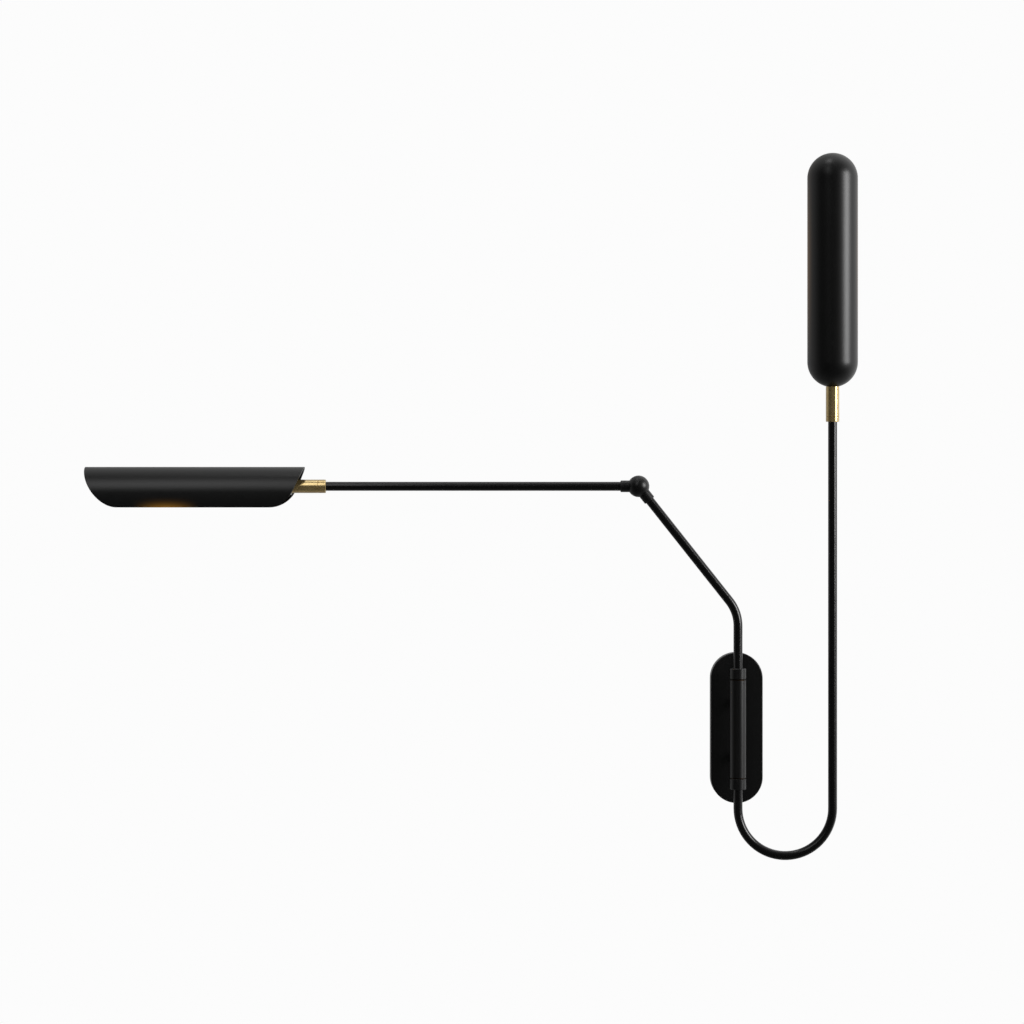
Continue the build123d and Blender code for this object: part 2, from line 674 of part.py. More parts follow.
def save_lower_arm():
    """The U-bent arm that swings on the barrel's lower end."""
    tube = along(loop_path(), TUBE_R, TUBE_BORE_R)
    tube -= lower_end(groove(BUSH_TIP - FACE_FIT - CLIP_THICK))
    tube -= CAPSULE_PLANE * swivel_groove()
    save("lower_collar", lower_end(pivot_collar()))
    save("lower_collar_screw", lower_end(collar_screw()))
    save("lower_arm_tube", tube)
    save("lower_clip", lower_end(clip(BUSH_TIP - FACE_FIT - CLIP_THICK)))
    save("lower_arm_ring", CAPSULE_PLANE * arm_ring(CAPSULE_RING))
    save("capsule_arm_clip", CAPSULE_PLANE * clip(CHAMBER_START + FACE_FIT))
    save("lower_lead", along(loop_path(LEAD_GAP), LEAD_R))


def save_capsule_head():
    """The capsule head that turns on the riser."""
    save("capsule_sleeve", CAPSULE_PLANE * turning_sleeve(CAPSULE_RING))
    save("capsule_shade", CAPSULE_PLANE * capsule_shade())
    lamp_end("capsule", CAPSULE_PLANE, capsule_nut_start())


os.makedirs("parts", exist_ok=True)
save_wall_bracket()
save_upper_arm()
save_reading_arm()
save_reading_head()
save_lower_arm()
save_capsule_head()
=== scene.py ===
import math

import bmesh
import bpy
from mathutils import Matrix, Vector


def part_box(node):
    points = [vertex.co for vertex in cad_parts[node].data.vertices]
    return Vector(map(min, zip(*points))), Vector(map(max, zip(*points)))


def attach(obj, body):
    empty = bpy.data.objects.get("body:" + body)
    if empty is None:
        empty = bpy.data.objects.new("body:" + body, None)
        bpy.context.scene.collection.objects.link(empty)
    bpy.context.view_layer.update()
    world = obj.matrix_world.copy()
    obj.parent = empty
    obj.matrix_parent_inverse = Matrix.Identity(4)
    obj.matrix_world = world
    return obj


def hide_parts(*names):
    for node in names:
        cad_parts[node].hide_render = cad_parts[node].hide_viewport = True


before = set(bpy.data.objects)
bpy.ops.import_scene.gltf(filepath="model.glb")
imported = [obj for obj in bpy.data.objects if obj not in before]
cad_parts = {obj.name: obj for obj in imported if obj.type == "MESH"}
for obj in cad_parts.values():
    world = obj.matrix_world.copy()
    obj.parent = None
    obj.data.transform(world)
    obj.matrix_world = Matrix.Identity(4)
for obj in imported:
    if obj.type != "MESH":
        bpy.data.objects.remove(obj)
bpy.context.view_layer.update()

# ---------------------------------------------------------------- sizes, in metres

MM = 0.001
X, Y, Z = 0, 1, 2                   # axes of a vector
ROUND_STEPS = 72                    # sides of a turned piece
ARC_STEPS = 20                      # facets of a quarter-turn outline
EDGE_STEPS = 3                      # segments of a softened edge
EDGE_ANGLE = math.radians(35)       # corners sharper than this are edges
FACET_ANGLE = math.radians(0.5)     # joins flatter than this are one facet
SAME_POINT = 0.001 * MM             # points nearer than this are one
ON_PLANE = 0.0001 * MM              # points nearer than this to a cutting plane lie on it
SLIVER = 0.02 * MM                  # shorter edges are only left over from the window's cuts

SHADE_SHEET = 1.2 * MM              # wall of the trough
SHEET_EDGE = 0.35 * MM              # softened edge of cut sheet
CROWN_R = 28 * MM                   # outside of the trough's rolled crown
SIDE_R = 100 * MM                   # the sides below the crown bend in a little
TIP_CURVE = 36.6 * MM               # length of the trough's rounded tip
TIP_FULLNESS = 1.8                  # 2 would be a quarter ellipse, 1 a straight cut
HEEL_RUN = 11 * MM                  # straight slant at the trough's other end
HEEL_DROP = 25 * MM

CAPSULE_SHEET = 1.5 * MM
WINDOW_WIDTH = 36 * MM              # slot in the capsule, towards the wall
WINDOW_LENGTH = 202 * MM
WINDOW_START = 30 * MM              # from the sleeve's top to the slot's lower end
WINDOW_MARGIN = 8 * MM              # skin above and below the slot that its cuts may reach
WINDOW_BESIDE = 0.65                # skin each side of its middle, as a share of its width
CAPSULE_SEAT = 0.6 * MM             # ground off the lower dome, where it stands on the sleeve
CAPSULE_BORE_R = 5.2 * MM           # hole for the nipple

BULB_NECK = 16 * MM
CAP_TIP = ((0, 0), (0.3, 0), (0.42, 0.6 * MM), (0.8, 2.2 * MM))  # share of a cap's radius, height
CAP_THREAD_START = 3 * MM           # rolled thread of a bulb cap
CAP_THREAD_PITCH = 3 * MM
CAP_THREAD_DEPTH = 0.55 * MM
CAP_THREAD_STEPS = 8                # facets of one ring of the thread
CAP_PLAIN = 6 * MM                  # length of a cap that has no thread
CAP_COLLAR = 1.5 * MM               # plain collar at its open end

HOLDER_RIBS = 28                    # ribs between the flutes of a lampholder's skirt
HOLDER_BORE_R = 5 * MM
HOLDER_CUP_R = 7.6 * MM             # cup for the bulb's cap
HOLDER_CUP_DEPTH = 20 * MM
HOLDER_END_R = 0.74                 # end, shoulder and skirt, as shares of the largest radius
HOLDER_SHOULDER_R = 0.86
HOLDER_SKIRT_R = 0.96
HOLDER_CHAMFER = 1.4 * MM           # heights over the end: chamfer, shoulder, start of the skirt
HOLDER_SHOULDER = 7.5 * MM
HOLDER_SKIRT_START = 9 * MM
HOLDER_SKIRT_STOP = 5 * MM          # depths below the mouth: end of the skirt, lip
HOLDER_LIP = 4 * MM
HOLDER_EDGE = 0.15 * MM
FLUTE_LAND = 0.2 * MM               # flat that is left round a flute
FLUTE_DEPTH = 0.45 * MM
FACET_MIDDLE = 0.97                 # a skirt facet's middle lies further out than this share

SCREW_STEPS = 36                    # sides of a screw
SCREW_EDGE = 0.12 * MM
KEY_SIZE = 1.5 * MM                 # hexagon socket of a grub screw, across its flats
KEY_DEPTH = 1.4 * MM
PLATE_SCREW_LENGTH = 8 * MM
COLLAR_SCREW_LENGTH = 3.8 * MM

reading_low, reading_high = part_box("reading_shade")
capsule_low, capsule_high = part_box("capsule_shade")
_, sleeve_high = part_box("capsule_sleeve")
holder_low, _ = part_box("reading_lampholder")
tube_low, tube_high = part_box("reading_arm_tube")
READING_Y = (tube_low.y + tube_high.y) / 2
CAPSULE_X = (capsule_low.x + capsule_high.x) / 2
CAPSULE_Y = (capsule_low.y + capsule_high.y) / 2
CAPSULE_R = (capsule_high.x - capsule_low.x) / 2

# ---------------------------------------------------------------- what shows in each finish

COAT_PEEL = 1.8 * MM                # orange peel of the baked powder
COAT_PEEL_HEIGHT = 0.008 * MM
COAT_GRAIN = 0.4 * MM               # melted grains, really about 0.1 mm, drawn coarser to show
COAT_GRAIN_SHARE = 0.3              # their height, as a share of the peel's
COAT_PATCH = 35 * MM                # thicker and thinner coat
SATIN_GLOSS = (0.32, 0.4)           # roughness
TUBE_GLOSS = (0.2, 0.26)            # the powder flows out smoother on drawn tube

TOOL_RING = 0.5 * MM                # lathe marks, really about 0.1 mm, drawn coarser to show
TOOL_RING_HEIGHT = 0.001 * MM
TOOL_RING_STRETCH = 0.04            # how little they change across the lathe's axis
TARNISH = 8 * MM
BRASS_GLOSS = (0.15, 0.21)
BRASS_METALLIC = 0.8                # short of 1, for lacquer that has gone a little milky
LACQUER_ROUGHNESS = 0.2

MARK = 0.5 * MM                     # hairline handling marks, drawn coarser than real to show
MARK_HEIGHT = 0.01 * MM
MARK_SPREAD = 0.07                  # how far they change a metal's roughness

SPARK = 0.6 * MM                    # spark-eroded mould, really about 0.1 mm, drawn coarser to show
DIE_DRAG = 0.8 * MM                 # matt drag of an extrusion's die
SPARK_HEIGHT = 0.03 * MM
SPARK_SPREAD = 0.06                 # how far it changes a plastic's roughness
FLOW_PATCH = 12 * MM

ENAMEL_PEEL = 2.5 * MM
ENAMEL_PEEL_HEIGHT = 0.004 * MM
ENAMEL_GLOSS = (0.28, 0.4)
OPAL_CLOUD = 14 * MM
OPAL_GLOSS = (0.12, 0.2)
FLOOR_MOTTLE = 120 * MM

WARM_LIGHT = "#ffb43c"              # colour of the bulbs' warm light, painted as a glow on the black coat beside them
RIM_GLOW_X = -0.6327                # middle of the painted glow on the trough's rim
RIM_GLOW_REACH = 38 * MM
RIM_GLOW_HEIGHT = 16 * MM
RIM_GLOW_FADE = 4.0                 # power by which it fades upwards
RIM_GLOW_STRENGTH = 0.2
FLANK_GLOW_Z = 0.52                 # middle of the painted glow beside the capsule's window
FLANK_GLOW_REACH = 0.13
FLANK_GLOW_FADE = 17 * MM           # from the capsule's widest line, where it is full, to the room side
FLANK_GLOW_STRENGTH = 0.06
BULB_GLOW = 2.6

# ---------------------------------------------------------------- materials


def linear(colour):
    """An sRGB hex colour as linear red, green, blue and alpha."""
    values = [int(colour[i:i + 2], 16) / 255 for i in (1, 3, 5)]
    bright = [v / 12.92 if v <= 0.04045 else ((v + 0.055) / 1.055) ** 2.4 for v in values]
    return (*bright, 1.0)


def add(tree, kind, inputs=None, **settings):
    """Adds a shader node with its settings, and sets or links its inputs.

    Inputs go by name, or by number where names repeat: a colour Mix has its two colours at 6 and 7.
    """
    node = tree.nodes.new("ShaderNode" + kind)
    for name, value in settings.items():
        setattr(node, name, value)
    for name, value in (inputs or {}).items():
        if isinstance(value, bpy.types.NodeSocket):
            tree.links.new(value, node.inputs[name])
        else:
            node.inputs[name].default_value = value
    return node


def begin(name):
    """A new node material: its tree, emptied, and its Object coordinates."""
    material = bpy.data.materials.new(name)
    material.use_nodes = True
    tree = material.node_tree
    tree.nodes.clear()
    return material, tree, add(tree, "TexCoord").outputs["Object"]


def powder_coat(name, gloss=SATIN_GLOSS, glow=None):
    """Polyester powder coat, sprayed dry and baked on steel.

    The melted grains leave a faint orange peel, which breaks the satin highlight up; thicker and
    thinner patches change the black a little. gloss is the range of its roughness, and glow paints the
    bulb's warm light beside an opening into the coat, as its own emission.
    """
    material, tree, place = begin(name)
    peel = add(tree, "TexNoise", {"Vector": place, "Scale": 1 / COAT_PEEL, "Detail": 2.0}).outputs[0]
    grain = add(tree, "TexNoise", {"Vector": place, "Scale": 1 / COAT_GRAIN, "Detail": 2.0}).outputs[0]
    patches = add(tree, "TexNoise", {"Vector": place, "Scale": 1 / COAT_PATCH, "Detail": 3.0}).outputs[0]
    height = add(tree, "Math", {0: grain, 1: COAT_GRAIN_SHARE, 2: peel}, operation="MULTIPLY_ADD")
    black = add(tree, "Mix", {0: patches, 6: linear("#060606"), 7: linear("#0b0b0b")}, data_type="RGBA")
    satin = add(tree, "MapRange", {"Value": grain, "To Min": gloss[0], "To Max": gloss[1]})
    bump = add(tree, "Bump", {"Height": height.outputs[0], "Distance": COAT_PEEL_HEIGHT, "Strength": 0.4})
    shader = add(tree, "BsdfPrincipled", {
        "Base Color": black.outputs[2], "Roughness": satin.outputs[0], "Normal": bump.outputs[0],
        "IOR": 1.5,
    })
    # Painted glow: the coat itself emits the bulb's warm light where the mask allows.
    if glow:
        shader.inputs["Emission Color"].default_value = linear(WARM_LIGHT)
        tree.links.new(glow(tree, place), shader.inputs["Emission Strength"])
    add(tree, "OutputMaterial", {"Surface": shader.outputs[0]})
    return material


def painted_rim_glow(tree, place):
    """Painted glow on the trough's lower rim, under the bulb's outer half: the reading bulb's warm light,
    given as the coat's own emission.
    """
    # Painted light: a warm glow, strongest at the rim and fading upwards, emitted by the coat itself.
    split = add(tree, "SeparateXYZ", {0: place})
    along = add(tree, "Math", {0: split.outputs["X"], 1: RIM_GLOW_X}, operation="SUBTRACT").outputs[0]
    along = add(tree, "Math", {0: along}, operation="ABSOLUTE").outputs[0]
    along = add(tree, "MapRange", {
        "Value": along, "From Max": RIM_GLOW_REACH, "To Min": 1.0, "To Max": 0.0,
    }, interpolation_type="SMOOTHSTEP").outputs[0]
    up = add(tree, "MapRange", {
        "Value": split.outputs["Z"],
        "From Min": reading_low.z, "From Max": reading_low.z + RIM_GLOW_HEIGHT,
        "To Min": 1.0, "To Max": 0.0,
    }).outputs[0]
    steep = add(tree, "Math", {0: up, 1: RIM_GLOW_FADE}, operation="POWER").outputs[0]
    both = add(tree, "Math", {0: along, 1: steep}, operation="MULTIPLY").outputs[0]
    return add(tree, "Math", {0: both, 1: RIM_GLOW_STRENGTH}, operation="MULTIPLY").outputs[0]


def painted_flank_glow(tree, place):
    """Painted glow on the capsule's sides, beside its window: the upright bulb's warm light, given as the
    coat's own emission.
    """
    # Painted light: a warm glow on the flanks towards the wall, emitted by the coat itself.
    split = add(tree, "SeparateXYZ", {0: place})
    back = add(tree, "MapRange", {
        "Value": split.outputs["Y"], "From Min": CAPSULE_Y - FLANK_GLOW_FADE, "From Max": CAPSULE_Y,
    }, interpolation_type="SMOOTHSTEP").outputs[0]
    up = add(tree, "Math", {0: split.outputs["Z"], 1: FLANK_GLOW_Z}, operation="SUBTRACT").outputs[0]
    up = add(tree, "Math", {0: up}, operation="ABSOLUTE").outputs[0]
    up = add(tree, "MapRange", {
        "Value": up, "From Max": FLANK_GLOW_REACH, "To Min": FLANK_GLOW_STRENGTH, "To Max": 0.0,
    }, interpolation_type="SMOOTHSTEP").outputs[0]
    return add(tree, "Math", {0: back, 1: up}, operation="MULTIPLY").outputs[0]


def turned_brass(name, axis):
    """Brass turned on a lathe and lacquered: fine tool rings across its axis, and a little tarnish."""
    material, tree, place = begin(name)
    squeeze = [TOOL_RING_STRETCH] * 3
    squeeze[axis] = 1.0
    ringed = add(tree, "Mapping", {"Vector": place, "Scale": squeeze}).outputs[0]
    rings = add(tree, "TexNoise", {"Vector": ringed, "Scale": 1 / TOOL_RING, "Detail": 2.0}).outputs[0]
    tarnish = add(tree, "TexNoise", {"Vector": place, "Scale": 1 / TARNISH, "Detail": 3.0}).outputs[0]
    gold = add(tree, "Mix", {0: tarnish, 6: linear("#c8a765"), 7: linear("#dec78f")}, data_type="RGBA")
    gloss = add(tree, "MapRange", {"Value": rings, "To Min": BRASS_GLOSS[0], "To Max": BRASS_GLOSS[1]})
    bump = add(tree, "Bump", {"Height": rings, "Distance": TOOL_RING_HEIGHT, "Strength": 0.12})
    shader = add(tree, "BsdfPrincipled", {
        "Base Color": gold.outputs[2], "Metallic": BRASS_METALLIC, "Roughness": gloss.outputs[0],
        "Normal": bump.outputs[0], "Coat Weight": 1.0, "Coat Roughness": LACQUER_ROUGHNESS,
    })
    add(tree, "OutputMaterial", {"Surface": shader.outputs[0]})
    return material


def worked_metal(name, dark, pale, roughness, patch):
    """A metal in its own grey or brown, with soft patches and hairline handling marks."""
    material, tree, place = begin(name)
    patches = add(tree, "TexNoise", {"Vector": place, "Scale": 1 / patch, "Detail": 3.0}).outputs[0]
    marks = add(tree, "TexNoise", {"Vector": place, "Scale": 1 / MARK, "Detail": 4.0}).outputs[0]
    colour = add(tree, "Mix", {0: patches, 6: linear(dark), 7: linear(pale)}, data_type="RGBA")
    gloss = add(tree, "MapRange", {
        "Value": marks, "To Min": roughness - MARK_SPREAD, "To Max": roughness + MARK_SPREAD,
    })
    bump = add(tree, "Bump", {"Height": marks, "Distance": MARK_HEIGHT, "Strength": 0.5})
    shader = add(tree, "BsdfPrincipled", {
        "Base Color": colour.outputs[2], "Metallic": 1.0, "Roughness": gloss.outputs[0],
        "Normal": bump.outputs[0],
    })
    add(tree, "OutputMaterial", {"Surface": shader.outputs[0]})
    return material


def moulded(name, dark, pale, roughness, texture):
    """A moulded or extruded plastic: the fine texture of its tool, and slight flow patches."""
    material, tree, place = begin(name)
    sparks = add(tree, "TexNoise", {"Vector": place, "Scale": 1 / texture, "Detail": 3.0}).outputs[0]
    patches = add(tree, "TexNoise", {"Vector": place, "Scale": 1 / FLOW_PATCH, "Detail": 2.0}).outputs[0]
    colour = add(tree, "Mix", {0: patches, 6: linear(dark), 7: linear(pale)}, data_type="RGBA")
    gloss = add(tree, "MapRange", {
        "Value": sparks, "To Min": roughness - SPARK_SPREAD, "To Max": roughness + SPARK_SPREAD,
    })
    bump = add(tree, "Bump", {"Height": sparks, "Distance": SPARK_HEIGHT, "Strength": 0.5})
    shader = add(tree, "BsdfPrincipled", {
        "Base Color": colour.outputs[2], "Roughness": gloss.outputs[0], "Normal": bump.outputs[0],
        "IOR": 1.49,
    })
    add(tree, "OutputMaterial", {"Surface": shader.outputs[0]})
    return material


def white_enamel():
    """White enamel baked inside the shades, a little glossier than the coat, with a soft orange peel."""
    material, tree, place = begin("baked_white_enamel")
    peel = add(tree, "TexNoise", {"Vector": place, "Scale": 1 / ENAMEL_PEEL, "Detail": 2.0}).outputs[0]
    white = add(tree, "Mix", {0: peel, 6: linear("#e6e1d8"), 7: linear("#f2eee6")}, data_type="RGBA")
    gloss = add(tree, "MapRange", {"Value": peel, "To Min": ENAMEL_GLOSS[0], "To Max": ENAMEL_GLOSS[1]})
    bump = add(tree, "Bump", {"Height": peel, "Distance": ENAMEL_PEEL_HEIGHT, "Strength": 0.4})
    shader = add(tree, "BsdfPrincipled", {
        "Base Color": white.outputs[2], "Roughness": gloss.outputs[0], "Normal": bump.outputs[0],
        "IOR": 1.5,
    })
    add(tree, "OutputMaterial", {"Surface": shader.outputs[0]})
    return material


def opal_glass():
    """Blown opal glass of a lit warm-white bulb: milky and evenly bright under a glossy skin."""
    material, tree, place = begin("lit_opal_glass")
    cloud = add(tree, "TexNoise", {"Vector": place, "Scale": 1 / OPAL_CLOUD, "Detail": 2.0}).outputs[0]
    milk = add(tree, "Mix", {0: cloud, 6: linear("#f4e6cf"), 7: linear("#fff6e8")}, data_type="RGBA")
    warm = add(tree, "Mix", {0: cloud, 6: linear("#ffc27a"), 7: linear("#ffd6a0")}, data_type="RGBA")
    gloss = add(tree, "MapRange", {"Value": cloud, "To Min": OPAL_GLOSS[0], "To Max": OPAL_GLOSS[1]})
    shader = add(tree, "BsdfPrincipled", {
        "Base Color": milk.outputs[2], "Roughness": gloss.outputs[0], "IOR": 1.5,
        "Emission Color": warm.outputs[2], "Emission Strength": BULB_GLOW,
    })
    add(tree, "OutputMaterial", {"Surface": shader.outputs[0]})
    return material


# Sprayed and baked on plate, castings and spun sheet: near black, with a broad soft highlight.
COAT = powder_coat("satin_black_powder_coat")
# Copies of the coat with a painted glow: the bulbs' warm light emitted by the coat near the openings.
COAT_TROUGH = powder_coat("satin_black_powder_coat_trough", glow=painted_rim_glow)
COAT_CAPSULE = powder_coat("satin_black_powder_coat_capsule", glow=painted_flank_glow)
# The same powder on drawn tube: a thin bright line runs along the arms and round their bends.
COAT_TUBE = powder_coat("satin_black_powder_coat_tube", TUBE_GLOSS)
# Turned and lacquered: a warm gold with soft-edged bands along the sleeves, not quite a mirror.
BRASS_LEVEL = turned_brass("turned_brass_level", X)
BRASS_UPRIGHT = turned_brass("turned_brass_upright", Z)
# Barrel-plated: a cool mid grey, cloudy rather than mirror-bright.
ZINC = worked_metal("zinc_plated_steel", "#9a9c9f", "#b9bbbd", 0.34, 5 * MM)
# Blackened in hot salts and oiled: almost as dark as the coat, but with a metal's sharper glint.
BLACK_STEEL = worked_metal("black_oxide_steel", "#1c1c1e", "#2c2c2e", 0.42, 4 * MM)
# Pressed from powder and soaked in oil: a dull dark brown with hardly a highlight.
BRONZE = worked_metal("oiled_sintered_bronze", "#1d1610", "#33271a", 0.5, 3 * MM)
# Rolled and pressed thin: a pale, fairly bright grey on the bulb caps.
CAP_METAL = worked_metal("rolled_aluminium", "#b7b8b8", "#cfd0d0", 0.28, 6 * MM)
# Pressed hot in a steel mould: a brownish black with a soft shine.
PHENOLIC = moulded("moulded_black_phenolic", "#131213", "#1d1c1c", 0.4, SPARK)
# Injection moulded, undyed: creamy white and waxy.
NYLON = moulded("moulded_white_nylon", "#d6d3ca", "#e8e5dd", 0.45, SPARK)
# Soft plastic pulled through a die: a flat, slightly blue black.
SHEATH = moulded("extruded_black_sheath", "#171719", "#222224", 0.55, DIE_DRAG)
# Smooth and white, so the bulbs' light fills the shades and leaves them warm.
ENAMEL = white_enamel()
# Lit from inside: one even warm white, with no filament or hot spot.
OPAL = opal_glass()

# ---------------------------------------------------------------- modelling


def turned(profile, steps=ROUND_STEPS):
    """A bmesh turned round +Z from (radius, height) points."""
    bm = bmesh.new()
    points = [bm.verts.new((radius, 0, height)) for radius, height in profile]
    edges = [bm.edges.new(pair) for pair in zip(points, points[1:])]
    bmesh.ops.spin(
        bm, geom=points + edges, cent=(0, 0, 0), axis=(0, 0, 1),
        angle=math.tau, steps=steps, use_merge=True,
    )
    bmesh.ops.remove_doubles(bm, verts=bm.verts, dist=SAME_POINT)
    bmesh.ops.recalc_face_normals(bm, faces=bm.faces)
    return bm


def arc(centre, across, up, start, end, steps=ARC_STEPS):
    """Points on an ellipse with half axes across and up, between two angles in degrees."""
    turns = [math.radians(start + (end - start) * step / steps) for step in range(steps + 1)]
    return [Vector((centre[0] + across * math.cos(t), centre[1] + up * math.sin(t))) for t in turns]


def cut_lines(outline):
    """Points and outward directions of the planes along an outline that runs anticlockwise from -Y."""
    for first, second in zip(outline, outline[1:]):
        way = (second - first).normalized()
        yield Vector((first.x, 0, first.y)), Vector((way.y, 0, -way.x))


def finished(bm, name, materials, body, replaces, place=None, edge=0.0):
    """Makes a bmesh a piece that rides on a body and stands for CAD nodes; its edges are softened when
    edge is given.
    """
    if place:
        bmesh.ops.transform(bm, matrix=place, verts=bm.verts)
    mesh = bpy.data.meshes.new(name)
    bm.to_mesh(mesh)
    bm.free()
    piece = bpy.data.objects.new(name, mesh)
    bpy.context.scene.collection.objects.link(piece)
    for material in materials:
        mesh.materials.append(material)
    mesh.shade_smooth()
    mesh.set_sharp_from_angle(angle=EDGE_ANGLE)
    if edge:
        soften(piece, edge)
    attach(piece, body)
    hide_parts(*replaces)
    return piece


def soften(piece, width):
    """Rounds a piece's edges over."""
    bevel = piece.modifiers.new("softened_edges", "BEVEL")
    bevel.width = width
    bevel.segments = EDGE_STEPS
    bevel.limit_method = "ANGLE"
    bevel.angle_limit = EDGE_ANGLE
    bevel.harden_normals = True


def sheet_wall(piece, thickness):
    """Gives a skin its wall, inwards. A face's inner side takes the material after its outer one."""
    wall = piece.modifiers.new("sheet", "SOLIDIFY")
    wall.thickness = thickness
    wall.offset = -1.0
    wall.material_offset = 1
    wall.material_offset_rim = 0
    wall.use_even_offset = True
    soften(piece, SHEET_EDGE)


def at_end(node, axis, end, sign):
    """A matrix that moves the origin to an end of a node's own axis, and turns +Z along it by sign."""
    low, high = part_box(node)
    origin = (low + high) / 2
    origin[axis] = high[axis] if end > 0 else low[axis]
    direction = Vector((0, 0, 0))
    direction[axis] = sign
    return Matrix.Translation(origin) @ direction.to_track_quat("Z", "Y").to_matrix().to_4x4()


def span(node, axis):
    """A node's length along an axis, and its largest radius about it."""
    low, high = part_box(node)
    return high[axis] - low[axis], max(high[i] - low[i] for i in range(3) if i != axis) / 2


# ---------------------------------------------------------------- shades


def tip_outline(rim, crown):
    """The trough's tip in side view, from crown to rim: a curve a little straighter than an ellipse."""
    points = []
    for step in range(ARC_STEPS + 1):
        turn = math.radians(90 * step / ARC_STEPS)
        across = TIP_CURVE * max(math.cos(turn), 0) ** (2 / TIP_FULLNESS)
        down = (crown - rim) * math.sin(turn) ** (2 / TIP_FULLNESS)
        points.append(Vector((reading_low.x + TIP_CURVE - across, crown - down)))
    return points


def heel_outline(rim, crown):
    """The trough's other end, from rim to crown: an arc that runs into a straight slant."""
    slant = math.atan2(HEEL_DROP, HEEL_RUN)
    radius = (crown - rim - HEEL_DROP) / (1 - math.cos(slant))
    centre = (reading_high.x - HEEL_RUN - radius * math.sin(slant), rim + radius)
    curve = arc(centre, radius, radius, 270, 270 + math.degrees(slant))
    return [*curve, Vector((reading_high.x, crown))]


def reading_trough():
    """The reading shade: sheet rolled round a half-round crown, its ends cut to curves."""
    rim, crown = reading_low.z, reading_high.z
    bm = bmesh.new()
    waist = crown - CROWN_R
    front = bm.verts.new((reading_low.x, READING_Y - CROWN_R, waist))
    rolled = bmesh.ops.spin(
        bm, geom=[front], cent=(reading_low.x, READING_Y, waist), axis=(-1, 0, 0),
        angle=math.pi, steps=ROUND_STEPS,
    )
    back = [part for part in rolled["geom_last"] if isinstance(part, bmesh.types.BMVert)]
    turn_in = math.asin((waist - rim) / SIDE_R)
    for ends, side in (([front], -1), (back, 1)):
        centre = (reading_low.x, READING_Y + side * (CROWN_R - SIDE_R), waist)
        bmesh.ops.spin(bm, geom=ends, cent=centre, axis=(-side, 0, 0), angle=turn_in, steps=ARC_STEPS)
    bmesh.ops.remove_doubles(bm, verts=bm.verts, dist=SAME_POINT)
    swept = bmesh.ops.extrude_edge_only(bm, edges=bm.edges)["geom"]
    ends = [part for part in swept if isinstance(part, bmesh.types.BMVert)]
    bmesh.ops.translate(bm, vec=(reading_high.x - reading_low.x, 0, 0), verts=ends)

    for point, outward in cut_lines(tip_outline(rim, crown) + heel_outline(rim, crown)):
        bmesh.ops.bisect_plane(
            bm, geom=[*bm.verts, *bm.edges, *bm.faces], dist=ON_PLANE,
            plane_co=point, plane_no=outward, clear_outer=True,
        )
    bmesh.ops.recalc_face_normals(bm, faces=bm.faces)
    if max(bm.faces, key=lambda face: face.calc_center_median().z).normal.z < 0:
        bmesh.ops.reverse_faces(bm, faces=bm.faces)

    # The enamel stops at the lampholder. The heel beyond it is coated inside as well.
    bmesh.ops.bisect_plane(
        bm, geom=[*bm.verts, *bm.edges, *bm.faces], dist=ON_PLANE,
        plane_co=holder_low, plane_no=(1, 0, 0),
    )
    for face in bm.faces:
        face.material_index = 2 if face.calc_center_median().x > holder_low.x else 0
    coats = [COAT_TROUGH, ENAMEL, COAT_TROUGH, COAT]
    shade = finished(bm, "reading_shade_rolled", coats, "reading_head", ["reading_shade"])
    sheet_wall(shade, SHADE_SHEET)


def near_window(point, bottom, top):
    """Whether a point of the capsule's skin lies at or beside its window."""
    beside = abs(point.x - CAPSULE_X) < WINDOW_WIDTH * WINDOW_BESIDE
    return point.y > CAPSULE_Y and beside and bottom - WINDOW_MARGIN < point.z < top + WINDOW_MARGIN


def capsule():
    """The capsule shade: a tube with domed ends, ground flat below, and a slot cut in its back."""
    low, high = capsule_low.z - CAPSULE_SEAT + CAPSULE_R, capsule_high.z - CAPSULE_R
    seat = math.degrees(math.asin((CAPSULE_R - CAPSULE_SEAT) / CAPSULE_R))
    profile = [
        (CAPSULE_BORE_R, capsule_low.z),
        *arc((0, low), CAPSULE_R, CAPSULE_R, -seat, 0),
        *arc((0, high), CAPSULE_R, CAPSULE_R, 0, 90),
    ]
    profile[-1] = (0, capsule_high.z)
    bm = turned(profile)
    bmesh.ops.translate(bm, vec=(CAPSULE_X, CAPSULE_Y, 0), verts=bm.verts)

    radius = WINDOW_WIDTH / 2
    bottom = sleeve_high.z + WINDOW_START
    top = bottom + WINDOW_LENGTH
    outline = [
        *arc((CAPSULE_X, top - radius), radius, radius, 0, 180, 2 * ARC_STEPS),
        *arc((CAPSULE_X, bottom + radius), radius, radius, 180, 360, 2 * ARC_STEPS),
    ]
    planes = list(cut_lines([*outline, outline[0]]))
    for point, outward in planes:
        back = [face for face in bm.faces if near_window(face.calc_center_median(), bottom, top)]
        geom = {*back, *(edge for face in back for edge in face.edges)}
        geom |= {vert for face in back for vert in face.verts}
        bmesh.ops.bisect_plane(bm, geom=list(geom), dist=ON_PLANE, plane_co=point, plane_no=outward)
    opened = [
        face for face in bm.faces
        if near_window(face.calc_center_median(), bottom, top)
        and all((face.calc_center_median() - point).dot(outward) < 0 for point, outward in planes)
    ]
    bmesh.ops.delete(bm, geom=opened, context="FACES")

    # The planes run on past the slot, so the skin round it is put back into whole facets.
    bmesh.ops.dissolve_limit(
        bm, angle_limit=FACET_ANGLE, use_dissolve_boundaries=False, verts=bm.verts, edges=bm.edges,
    )
    bmesh.ops.remove_doubles(bm, verts=bm.verts, dist=SLIVER)
    bmesh.ops.dissolve_degenerate(bm, edges=bm.edges, dist=SLIVER)
    coats = [COAT_CAPSULE, ENAMEL]
    shade = finished(bm, "capsule_shade_spun", coats, "capsule_head", ["capsule_shade"])
    sheet_wall(shade, CAPSULE_SHEET)


# ---------------------------------------------------------------- bulbs and holders


